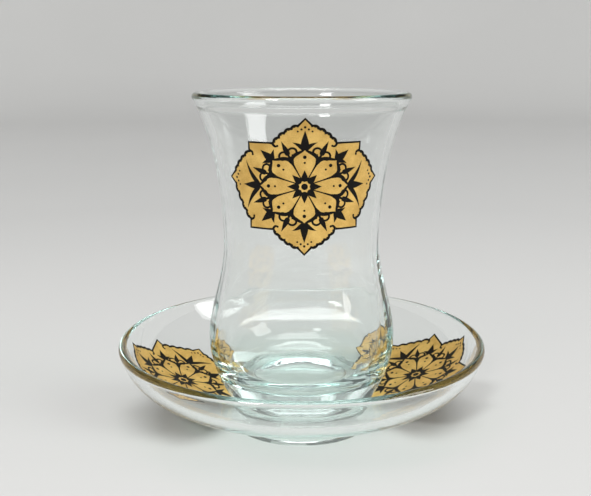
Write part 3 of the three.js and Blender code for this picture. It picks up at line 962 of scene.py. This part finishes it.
def border_flat(prints):
    """The black border's flat band, slim on straight stretches and scalloped inside its lobes."""
    line = resampled(cartouche(prints), BORDER_STEP)
    outer = line[:, :2]
    way = np.roll(outer, -1, axis=0) - np.roll(outer, 1, axis=0)
    inward = softened(np.column_stack([way[:, 1], -way[:, 0]]), TURN_SPREAD)
    inward /= np.linalg.norm(inward, axis=1, keepdims=True)
    run = np.linalg.norm(outer - np.roll(outer, 1, axis=0), axis=1).cumsum()
    pitch = run[-1] / round(run[-1] / prints.scallop_pitch)
    scalloped = prints.border + prints.scallop * (SCALLOP_LEVEL - np.abs(np.sin(math.pi * run / pitch)))
    lobe_share = softened(line[:, 2:], WIDTH_SPREAD)[:, 0]
    width = prints.border_straight + (scalloped - prints.border_straight) * lobe_share
    shares = np.linspace(0, 1, BORDER_ROWS)
    points = np.vstack([outer + inward * (share * width)[:, None] for share in shares])
    return points, strip_faces(BORDER_ROWS, len(outer))


# Strokes of the drawing, about the medallion's middle

def blunt(points, halves):
    """A stroke with a half round added at each end that isn't pointed."""
    for _ in range(2):
        points = points[::-1]
        halves = halves[::-1]
        half = halves[-1]
        if half > POINTED:
            way = points[-1] - points[-2]
            way = way / np.linalg.norm(way)
            turn = np.linspace(0, math.pi / 2, BLUNT_STEPS + 1)[1:]
            points = np.vstack([points, points[-1] + half * np.sin(turn)[:, None] * way])
            halves = np.concatenate([halves, half * np.cos(turn)])
    return points, halves


def pen_stroke(points, width, shares):
    """A stroke through points, its width going through shares of the full one."""
    t = np.linspace(0, 1, len(points))
    return blunt(points, width / 2 * np.interp(t, np.linspace(0, 1, len(shares)), shares))


def leaf(root, heading, reach, width, bend=0.0):
    """A pointed leaf from its root, widest near it, whose end turns aside by the bend."""
    knee = root + polar(heading, reach / 2)
    t = np.linspace(0, 1, LEAF_STEPS + 1)
    points = quadratic(root, knee, knee + polar(heading + bend, reach / 2), t)
    return points, width / 2 * np.sin(math.pi * np.sqrt(t))


def ringed(ink, turn, reach):
    """A point of the drawing at an angle and a distance, in a frame stretched to the medallion's width."""
    return polar(turn, reach) * [ink.stretch, 1.0]


def outward(ink, turn):
    """The heading that leads straight out at an angle of that frame."""
    way = ringed(ink, turn, 1.0)
    return math.atan2(way[1], way[0])


def arch_turns(ink):
    """Angles of the arches' tips."""
    return np.arange(ink.parts) * 2 * math.pi / ink.parts


def valley_turns(ink):
    """Angles of the valleys between the arches."""
    return arch_turns(ink) + math.pi / ink.parts


def rosette_strokes(ink):
    """Petals round the middle."""
    return [
        leaf(polar(turn, ink.petal_root), turn, ink.petal_length, ink.petal_width)
        for turn in arch_turns(ink)
    ]


def arch_strokes(ink):
    """Pointed arches in a ring about the rosette, drawn as bows from tip to tip through the valleys."""
    t = np.linspace(0, 1, ARCH_POINTS)
    s = 1 - t
    across = s**3 + 3 * s**2 * t * ARCH_TIP_ACROSS
    rise = s**3 + 3 * s**2 * t * ARCH_TIP_RISE + 3 * s * t**2 * ARCH_VALLEY_RISE
    reaches = ink.arch_foot + ink.arch_rise * rise
    strokes = []
    for valley in valley_turns(ink):
        sides = []
        for side in (-1, 1):
            turns = valley + side * across * math.pi / ink.parts
            sides.append([ringed(ink, *place) for place in zip(turns, reaches)])
        points = np.array(sides[0] + sides[1][-2::-1])
        strokes.append(pen_stroke(points, ink.arch_width, ARCH_SHARES))
    return strokes


def tulip_strokes(ink):
    """A tulip on the tip of each arch, with long leaves on the two at the sides."""
    strokes = []
    for place, turn in enumerate(arch_turns(ink)):
        root = ringed(ink, turn, ink.tulip_root)
        heading = outward(ink, turn)
        share = (1.0, ink.corner_share)[place % 2]
        strokes.append(leaf(root, heading, share * ink.tulip_length, ink.tulip_width))
        at_side = abs(math.sin(turn)) < SIDEWAYS
        reach = ink.side_leaf_length if at_side else share * ink.tulip_leaf_length
        for side in (-1, 1):
            way = heading + side * ink.tulip_leaf_turn
            strokes.append(leaf(root, way, reach, ink.tulip_leaf_width, side * ink.tulip_leaf_bend))
    return strokes


def curl_eye(ink, valley, side):
    """Middle of a curl beside the fork of a sprig."""
    way = outward(ink, valley) + side * ink.curl_side
    return ringed(ink, valley, ink.fork_reach) + polar(way, ink.curl_radius)


def curl(ink, fork, eye, side):
    """A stroke that winds from a fork round an eye."""
    t = np.linspace(0, 1, CURL_STEPS + 1)
    arm = fork - eye
    way = math.atan2(arm[1], arm[0]) + side * 2 * math.pi * ink.curl_turns * t
    reach = ink.curl_radius + (ink.curl_eye - ink.curl_radius) * t
    points = eye + np.column_stack([np.cos(way), np.sin(way)]) * reach[:, None]
    return pen_stroke(points, ink.curl_width, CURL_SHARES)


def sprig_strokes(ink):
    """A stalk from the rosette to each valley, and a stem out of it with a leaf and two curls."""
    strokes = []
    for valley in valley_turns(ink):
        foot = ringed(ink, valley, ink.arch_foot)
        fork = ringed(ink, valley, ink.fork_reach)
        start = polar(valley, ink.petal_root + STALK_START * ink.petal_length)
        strokes.append(pen_stroke(np.linspace(start, foot, STALK_POINTS), ink.stalk_width, STALK_SHARES))
        strokes.append(pen_stroke(np.linspace(foot, fork, STEM_POINTS), ink.stem_width, STEM_SHARES))
        strokes.append(leaf(fork, outward(ink, valley), ink.sprig_length, ink.sprig_width))
        for side in (-1, 1):
            strokes.append(curl(ink, fork, curl_eye(ink, valley, side), side))
    return strokes


def drawing_dots(ink):
    """Dots of the drawing as (x, y, radius)."""
    dots = [(0.0, 0.0, ink.eye)]
    for turn in arch_turns(ink):
        for rise, size in ARCH_DOTS:
            dots.append((*ringed(ink, turn, ink.arch_foot + rise * ink.arch_rise), size * ink.eye))
    return dots


def end_dots(prints):
    """Small dots in a chevron inside each of the cartouche's four tips, as (x, y, radius)."""
    head = prints.half_height - TIP_DOT_INSET * prints.tip_length
    side = prints.half_width - TIP_DOT_INSET * prints.tip_length
    dots = []
    for place in range(-2, 3):
        down = TIP_DOT_DROP * abs(place) * prints.tip_spread
        aside = TIP_DOT_PITCH * place * prints.tip_spread
        radius = (TIP_DOT_RADIUS - TIP_DOT_TAPER * abs(place)) * prints.tip_spread
        for way in (-1, 1):
            dots.append((aside, way * (head - down), radius))
            dots.append((way * (side - down), aside + prints.side_tip_rise, radius))
    return dots


def hook_places(prints):
    """Start, turn and end of a quarter's two hooks: by the head's foot and under the shoulder."""
    neck = point(prints.head_half_width, prints.shoulder_half_height)
    under = point(prints.shoulder_half_width, prints.shoulder_half_height - prints.shoulder_drop)
    shapes = [(neck, NECK_HOOK), (under, SHOULDER_HOOK)]
    return [[foot + np.array(move) * MM for move in moves] for foot, moves in shapes]


def hook_strokes(prints):
    """Small hooks of the border, in all four quarters."""
    t = np.linspace(0, 1, HOOK_POINTS)
    strokes = [
        pen_stroke(quadratic(start, turn, end, t), HOOK_WIDTH * prints.border, HOOK_SHARES)
        for start, turn, end in hook_places(prints)
    ]
    ways = [(1, 1), (-1, 1), (1, -1), (-1, -1)]
    return [(points * way, halves) for way in ways for points, halves in strokes]


def hook_dots(prints):
    """The round ends of the border's hooks."""
    ends = [end for _, _, end in hook_places(prints)]
    return [(x * a, y * b, HOOK_DOT * prints.border) for x, y in ends for a in (1, -1) for b in (1, -1)]


def signed_area(loop):
    """Twice the area of a flat loop, above zero where it turns anticlockwise."""
    ahead = np.roll(loop, -1, axis=0)
    return np.sum(loop[:, 0] * ahead[:, 1] - loop[:, 1] * ahead[:, 0])


def ink_flat(name, strokes, dots, material):
    """Strokes and dots as one flat mesh of points and faces."""
    points = []
    edges = []
    halves = []
    for line, half in strokes:
        first = len(points)
        points += [(x, y, 0.0) for x, y in line]
        halves += list(half)
        edges += [(first + i, first + i + 1) for i in range(len(line) - 1)]
    radii = [0.0] * len(points) + [radius for _, _, radius in dots]
    halves += [0.0] * len(dots)
    points += [(x, y, 0.0) for x, y, _ in dots]
    wire = wire_object(name, points, edges, {"half_width": halves, "dot_radius": radii})
    values = {"Columns": RIBBON_COLUMNS, "Dot Sides": DOT_SIDES, "Material": material}
    mesh = grown(wire, tree_named("Ink Drawing", drawing_tree), values)
    flat = np.array([vertex.co[:2] for vertex in mesh.vertices])
    faces = [tuple(face.vertices) for face in mesh.polygons]
    upright = [face if signed_area(flat[list(face)]) > 0 else face[::-1] for face in faces]
    bpy.data.meshes.remove(mesh)
    return flat, upright


def together(first_flat, second_flat):
    """Two flat shapes as one."""
    first_points, first_faces = first_flat
    second_points, second_faces = second_flat
    moved = [tuple(len(first_points) + i for i in face) for face in second_faces]
    return np.vstack([first_points, second_points]), first_faces + moved


def film_mesh(name, flat, place, depth, rise, material):
    """A closed thin film: a flat shape fused into the glass to a depth, with an underside and edges."""
    points, faces = flat
    first = len(points)
    whole = np.vstack([place(points, rise), place(points, -depth)])
    ways = {(a, b) for face in faces for a, b in zip(face, face[1:] + face[:1])}
    under = [tuple(first + i for i in face[::-1]) for face in faces]
    edges = [(b, a, first + a, first + b) for a, b in sorted(ways) if (b, a) not in ways]
    mesh = smooth_mesh(name, whole, faces + under + edges, material)
    mesh.set_sharp_from_angle(angle=SHARP_ANGLE)
    return mesh


# Materials

def pattern_group(name, scale, outputs):
    """An empty shader group that takes a place and a scale and gives numbers."""
    inputs = {"Vector": "Vector", scale: "Float"}
    tree, given = group_tree(name, "ShaderNodeTree", inputs, dict.fromkeys(outputs, "Float"))
    return tree, given["Vector"], given[scale]


def marks_group():
    """Marks of handling on glass: soft smudges, fine wiping streaks and a slow swell."""
    tree, place, scale = pattern_group("Handling Marks", "Mark Scale", ("Smudge", "Streaks", "Swell"))
    smudge = remapped(tree, noise(tree, place, scale, detail=3.0, roughness=0.6), SMUDGE_RANGE)
    stretched = vector_maths(tree, "MULTIPLY", place, STREAK_STRETCH)
    fine = noise(tree, stretched, maths(tree, "MULTIPLY", scale, STREAK_FINENESS))
    streaks = maths(tree, "MULTIPLY", remapped(tree, fine, STREAK_RANGE), smudge)
    swell = noise(tree, place, maths(tree, "MULTIPLY", scale, SWELL_FINENESS), detail=1.0)
    add_node(tree, "NodeGroupOutput", {"Smudge": smudge, "Streaks": streaks, "Swell": swell})
    return tree


def grain_group():
    """Grain of a fired print: a fine speckle, a slow mottle and scattered thin spots."""
    tree, place, scale = pattern_group("Print Grain", "Grain Scale", ("Grain", "Mottle", "Thin Spots"))
    slow = maths(tree, "MULTIPLY", scale, MOTTLE_FINENESS)
    grain = noise(tree, place, scale, detail=3.0, roughness=0.65)
    mottle = noise(tree, place, slow, detail=3.0, roughness=0.55)
    cells = noise(tree, place, maths(tree, "MULTIPLY", scale, THIN_FINENESS), detail=1.0)
    thin = remapped(tree, cells, THIN_RANGE)
    add_node(tree, "NodeGroupOutput", {"Grain": grain, "Mottle": mottle, "Thin Spots": thin})
    return tree


def new_material(name):
    """An empty node material with its output node."""
    material = bpy.data.materials.new(name)
    material.use_nodes = True
    tree = material.node_tree
    tree.nodes.clear()
    return material, tree, tree.nodes.new("ShaderNodeOutputMaterial")


def object_vector(tree):
    """Object coordinates."""
    return add_node(tree, "ShaderNodeTexCoord").outputs["Object"]


def group_outputs(tree, name, maker, scale_name, scale):
    """The outputs of a shared shader group at this material's scale."""
    inputs = {"Vector": object_vector(tree), scale_name: scale}
    return add_node(tree, "ShaderNodeGroup", inputs, node_tree=tree_named(name, maker)).outputs


def relief(tree, strength, distance, height):
    """The normal of a Bump node."""
    return node_out(tree, "ShaderNodeBump", {"Strength": strength, "Distance": distance, "Height": height})


def glass_material(name, finishes, mark_scale):
    """Clear glass, faintly green in its depth, with marks of handling on its surface."""
    material, tree, output = new_material(name)
    marks = group_outputs(tree, "Handling Marks", marks_group, "Mark Scale", mark_scale)
    worn = maths(tree, "ADD", marks["Smudge"], marks["Streaks"])
    surface = {
        "Base Color": GLASS_COLOUR,
        "Roughness": remapped(tree, worn, (0.0, 2.0), (0.0, GLASS_ROUGHNESS)),
        "IOR": GLASS_IOR,
        "Transmission Weight": 1.0,
        "Normal": relief(tree, GLASS_SWELL, MM, marks["Swell"]),
    }
    shader = node_out(tree, "ShaderNodeBsdfPrincipled", surface)
    clear = node_out(tree, "ShaderNodeBsdfTransparent", {"Color": SHADOW_COLOUR})
    path = add_node(tree, "ShaderNodeLightPath").outputs
    for ray in ("Is Shadow Ray", "Is Diffuse Ray"):
        shader = node_out(tree, "ShaderNodeMixShader", {0: path[ray], 1: shader, 2: clear})
    depth = {"Color": (*finishes.glass_tint, 1.0), "Density": finishes.glass_depth}
    tree.links.new(shader, output.inputs["Surface"])
    tree.links.new(node_out(tree, "ShaderNodeVolumeAbsorption", depth), output.inputs["Volume"])
    return material


def print_shader(tree, output, grain, share, tones, rough, strength):
    """The shader of a fired print, its two tones mixed by a share."""
    # A Mix node takes colours on its inputs 6 and 7 and gives one on its output 2
    first, second = ((*tone, 1.0) for tone in tones)
    mixed = add_node(tree, "ShaderNodeMix", {0: share, 6: first, 7: second}, data_type="RGBA").outputs[2]
    normal = relief(tree, strength, PRINT_BUMP, grain["Grain"])
    surface = {"Base Color": mixed, "Roughness": rough, "Normal": normal}
    shader = add_node(tree, "ShaderNodeBsdfPrincipled", surface)
    tree.links.new(shader.outputs[0], output.inputs["Surface"])
    return shader


def gold_material(finishes):
    """Satin printed gold, speckled and a little uneven."""
    material, tree, output = new_material("fired_gold")
    grain = group_outputs(tree, "Print Grain", grain_group, "Grain Scale", GOLD_GRAIN)
    mottle = maths(tree, "MULTIPLY", grain["Mottle"], GOLD_MOTTLE)
    speckle = maths(tree, "MULTIPLY_ADD", grain["Grain"], GOLD_SPECKLE, mottle)
    share = remapped(tree, speckle, GOLD_RANGE)
    rough = remapped(tree, grain["Grain"], NOISE_RANGE, GOLD_ROUGHNESS)
    tones = (finishes.gold_deep, finishes.gold_light)
    gold = print_shader(tree, output, grain, share, tones, rough, GOLD_RELIEF)
    gold.inputs["Metallic"].default_value = GOLD_METAL
    return material


def black_material(finishes):
    """Black fired enamel with a soft gloss and thin spots."""
    material, tree, output = new_material("fired_black")
    grain = group_outputs(tree, "Print Grain", grain_group, "Grain Scale", BLACK_GRAIN)
    share = maths(tree, "MULTIPLY", grain["Thin Spots"], BLACK_THIN)
    rough = remapped(tree, grain["Mottle"], NOISE_RANGE, BLACK_ROUGHNESS)
    tones = (finishes.black, finishes.black_worn)
    black = print_shader(tree, output, grain, share, tones, rough, BLACK_RELIEF)
    black.inputs["Specular IOR Level"].default_value = BLACK_SPECULAR
    return material


def print_material(scene, name):
    """A print's material, made the first time."""
    maker = {"fired_gold": gold_material, "fired_black": black_material}[name]
    return bpy.data.materials.get(name) or maker(scene.tea_glass_finishes)


# Pieces

def turn_glass(scene, node, sizes, mark_scale, drift, profile, wavy, sunk):
    """A turned glass piece that rides on the body of its node's name."""
    values = {
        "Steps Round": sizes.steps_round,
        "Ripple": sizes.ripple,
        "Drift": drift,
        "Material": glass_material(f"{node}_glass", scene.tea_glass_finishes, mark_scale),
    }
    points = np.insert(profile, 1, 0.0, axis=1)
    edges = [(i, i + 1) for i in range(len(points) - 1)]
    wire = wire_object(f"{node}_section", points, edges, {"ripple": wavy, "drift": sunk})
    mesh = grown(wire, tree_named("Turned Glass", turning_tree), values)
    finished(f"glass_{node}", mesh, node, node)


def lay_films(scene, flat, material, depth, rise, kind, node):
    """A film of one kind on each medallion, which stands for that node of the medallion."""
    for name, body, place in print_places(scene):
        mesh = film_mesh(name, flat, place, depth, rise, material)
        finished(f"{name}_{kind}", mesh, body, f"{name}_{node}")


def lay_black(scene, flat, material, kind, node):
    """A black film on each medallion, fused deeper than the gold under it."""
    prints = scene.tea_glass_prints
    depth = BLACK_BITE * prints.bite
    lay_films(scene, flat, material, depth, prints.black_rise, kind, node)


# Stage

def floor_material(look):
    """Pale matt paper with a faint tooth, painted paler far out as painted light for the backdrop that the
    lamps light less.
    """
    material, tree, output = new_material("paper_floor")
    vector = object_vector(tree)
    tooth = noise(tree, vector, PAPER_TOOTH, detail=3.0, roughness=0.6)
    clouds = remapped(tree, noise(tree, vector, PAPER_CLOUDS), NOISE_RANGE, PAPER_CLOUD_LEVEL)
    reach = add_node(tree, "ShaderNodeVectorMath", {0: vector}, operation="LENGTH").outputs["Value"]
    # Painted light: the paper grows paler with distance, making up for lamp light that falls off towards
    # the backdrop
    painted_backdrop_light = remapped(tree, reach, PAPER_PAINTED_LIGHT_FROM, PAPER_PAINTED_LIGHT_LEVEL)
    share = maths(tree, "MULTIPLY", clouds, painted_backdrop_light)
    surface = {
        "Base Color": scaled(tree, tuple(look.floor), share),
        "Roughness": PAPER_ROUGHNESS,
        "Normal": relief(tree, PAPER_RELIEF, PAPER_BUMP, tooth),
    }
    tree.links.new(node_out(tree, "ShaderNodeBsdfPrincipled", surface), output.inputs["Surface"])
    return material


def lay_floor(look):
    """A round floor that rises into a backdrop far from the object."""
    rings = [(reach, 0.0) for reach in FLOOR_RINGS]
    for t in np.linspace(FLOOR_BEND_START, math.pi / 2, FLOOR_BEND_RINGS):
        rings.append((FLOOR_RINGS[-1] + FLOOR_BEND * math.sin(t), FLOOR_BEND - FLOOR_BEND * math.cos(t)))
    turns = np.arange(FLOOR_COLUMNS) * 2 * math.pi / FLOOR_COLUMNS
    points = [(r * math.cos(t), r * math.sin(t), z) for r, z in rings for t in turns]
    fan = [(i, (i + 1) % FLOOR_COLUMNS, len(points)) for i in range(FLOOR_COLUMNS)]
    points.append((0.0, 0.0, 0.0))
    faces = strip_faces(len(rings), FLOOR_COLUMNS) + fan
    mesh = smooth_mesh("paper_floor", points, faces, floor_material(look))
    linked("paper_floor", mesh)


def hang_lamps(look):
    """Soft lamps: a key on the left, a broad fill on the right and one overhead."""
    for name, place, (wide, tall), power in LAMPS:
        lamp = bpy.data.lights.new(name, "AREA")
        lamp.shape = "RECTANGLE"
        lamp.size = wide
        lamp.size_y = tall
        lamp.energy = power * look.lamp_level
        made = linked(name, lamp)
        made.location = place
        aim = Vector((0.0, 0.0, AIM_HEIGHT)) - made.location
        made.rotation_euler = aim.to_track_quat("-Z", "Y").to_euler()


def light_world(scene):
    """A plain dim room, which the glass mirrors between the lamps."""
    world = bpy.data.worlds.new("studio")
    world.use_nodes = True
    world.node_tree.nodes["Background"].inputs["Color"].default_value = ROOM_GREY
    scene.world = world


def set_camera(scene, look):
    """The camera at the photograph's place."""
    data = bpy.data.cameras.new("front_camera")
    data.lens = look.lens
    data.sensor_width = FRAME_WIDTH
    camera = linked("front_camera", data)
    camera.location = (-look.camera_side, -look.camera_back, look.camera_height)
    camera.rotation_euler = (math.pi / 2 - look.camera_tilt, 0.0, 0.0)
    scene.camera = camera


# Operators

class TEAGLASS_OT_saucer(Operator):
    """Turn the saucer"""

    bl_idname = "teaglass.saucer"
    bl_label = "Saucer"

    def execute(self, context):
        scene = context.scene
        sizes = scene.tea_glass_saucer
        profile, wavy = saucer_profile(sizes, scene.tea_glass_tumbler)
        turn_glass(scene, "saucer", sizes, SAUCER_MARK_SCALE, 0.0, profile, wavy, np.zeros(len(profile)))
        return {"FINISHED"}


class TEAGLASS_OT_tumbler(Operator):
    """Turn the tumbler"""

    bl_idname = "teaglass.tumbler"
    bl_label = "Tumbler"

    def execute(self, context):
        scene = context.scene
        sizes = scene.tea_glass_tumbler
        section = tumbler_profile(scene.tea_glass_saucer, sizes)
        turn_glass(scene, "tumbler", sizes, TUMBLER_MARK_SCALE, -sizes.drift, *section)
        return {"FINISHED"}


class TEAGLASS_OT_gold_grounds(Operator):
    """Lay the gold ground of each medallion on the glass"""

    bl_idname = "teaglass.gold_grounds"
    bl_label = "Gold Grounds"

    def execute(self, context):
        scene = context.scene
        prints = scene.tea_glass_prints
        flat = ground_flat(prints)
        material = print_material(scene, "fired_gold")
        lay_films(scene, flat, material, prints.bite, prints.gold_rise, "gold", "ground")
        return {"FINISHED"}


class TEAGLASS_OT_black_borders(Operator):
    """Lay the scalloped black border of each medallion over the gold"""

    bl_idname = "teaglass.black_borders"
    bl_label = "Black Borders"

    def execute(self, context):
        scene = context.scene
        prints = scene.tea_glass_prints
        material = print_material(scene, "fired_black")
        hooks = ink_flat("hooks", hook_strokes(prints), hook_dots(prints), material)
        lay_black(scene, together(border_flat(prints), hooks), material, "black_border", "border")
        return {"FINISHED"}


class TEAGLASS_OT_black_drawings(Operator):
    """Lay the rosette, arches, tulips and curls of each medallion over the gold"""

    bl_idname = "teaglass.black_drawings"
    bl_label = "Black Drawings"

    def execute(self, context):
        scene = context.scene
        ink = scene.tea_glass_drawing
        material = print_material(scene, "fired_black")
        strokes = rosette_strokes(ink) + arch_strokes(ink) + tulip_strokes(ink) + sprig_strokes(ink)
        dots = drawing_dots(ink) + end_dots(scene.tea_glass_prints)
        flat = ink_flat("drawing", strokes, dots, material)
        lay_black(scene, flat, material, "black_drawing", "ornament")
        return {"FINISHED"}


class TEAGLASS_OT_stage(Operator):
    """Set the floor, the lamps and the camera"""

    bl_idname = "teaglass.stage"
    bl_label = "Stage"

    def execute(self, context):
        scene = context.scene
        look = scene.tea_glass_stage
        lay_floor(look)
        hang_lamps(look)
        light_world(scene)
        set_camera(scene, look)
        scene.view_settings.view_transform = "Standard"
        scene.cycles.max_bounces = BOUNCES
        scene.cycles.glossy_bounces = BOUNCES
        scene.cycles.transmission_bounces = BOUNCES
        scene.cycles.transparent_max_bounces = BOUNCES
        scene.cycles.caustics_reflective = False
        scene.cycles.caustics_refractive = False
        return {"FINISHED"}


# Panel and registration

PIECES = (
    TEAGLASS_OT_saucer,
    TEAGLASS_OT_tumbler,
    TEAGLASS_OT_gold_grounds,
    TEAGLASS_OT_black_borders,
    TEAGLASS_OT_black_drawings,
    TEAGLASS_OT_stage,
)
SETTINGS = {
    "tea_glass_tumbler": TumblerSizes,
    "tea_glass_saucer": SaucerSizes,
    "tea_glass_prints": PrintSizes,
    "tea_glass_drawing": DrawingSizes,
    "tea_glass_finishes": Finishes,
    "tea_glass_stage": StageLook,
}


class TEAGLASS_PT_panel(Panel):
    """Lists the pieces and their sizes"""

    bl_idname = "TEAGLASS_PT_panel"
    bl_label = "Tea Glass"
    bl_space_type = "VIEW_3D"
    bl_region_type = "UI"
    bl_category = "Tea Glass"

    def draw(self, context):
        for operator in PIECES:
            self.layout.operator(operator.bl_idname)
        for name, group in SETTINGS.items():
            box = self.layout.box()
            box.label(text=group.__name__)
            for field in group.__annotations__:
                box.prop(getattr(context.scene, name), field)


CLASSES = (*SETTINGS.values(), *PIECES, TEAGLASS_PT_panel)


def register():
    for made in CLASSES:
        bpy.utils.register_class(made)
    for name, group in SETTINGS.items():
        setattr(bpy.types.Scene, name, PointerProperty(type=group))


def unregister():
    for name in SETTINGS:
        delattr(bpy.types.Scene, name)
    for made in reversed(CLASSES):
        bpy.utils.unregister_class(made)


def main():
    """Builds every piece and the stage."""
    register()
    bpy.ops.teaglass.saucer()
    bpy.ops.teaglass.tumbler()
    bpy.ops.teaglass.gold_grounds()
    bpy.ops.teaglass.black_borders()
    bpy.ops.teaglass.black_drawings()
    bpy.ops.teaglass.stage()


if __name__ == "__main__":
    main()
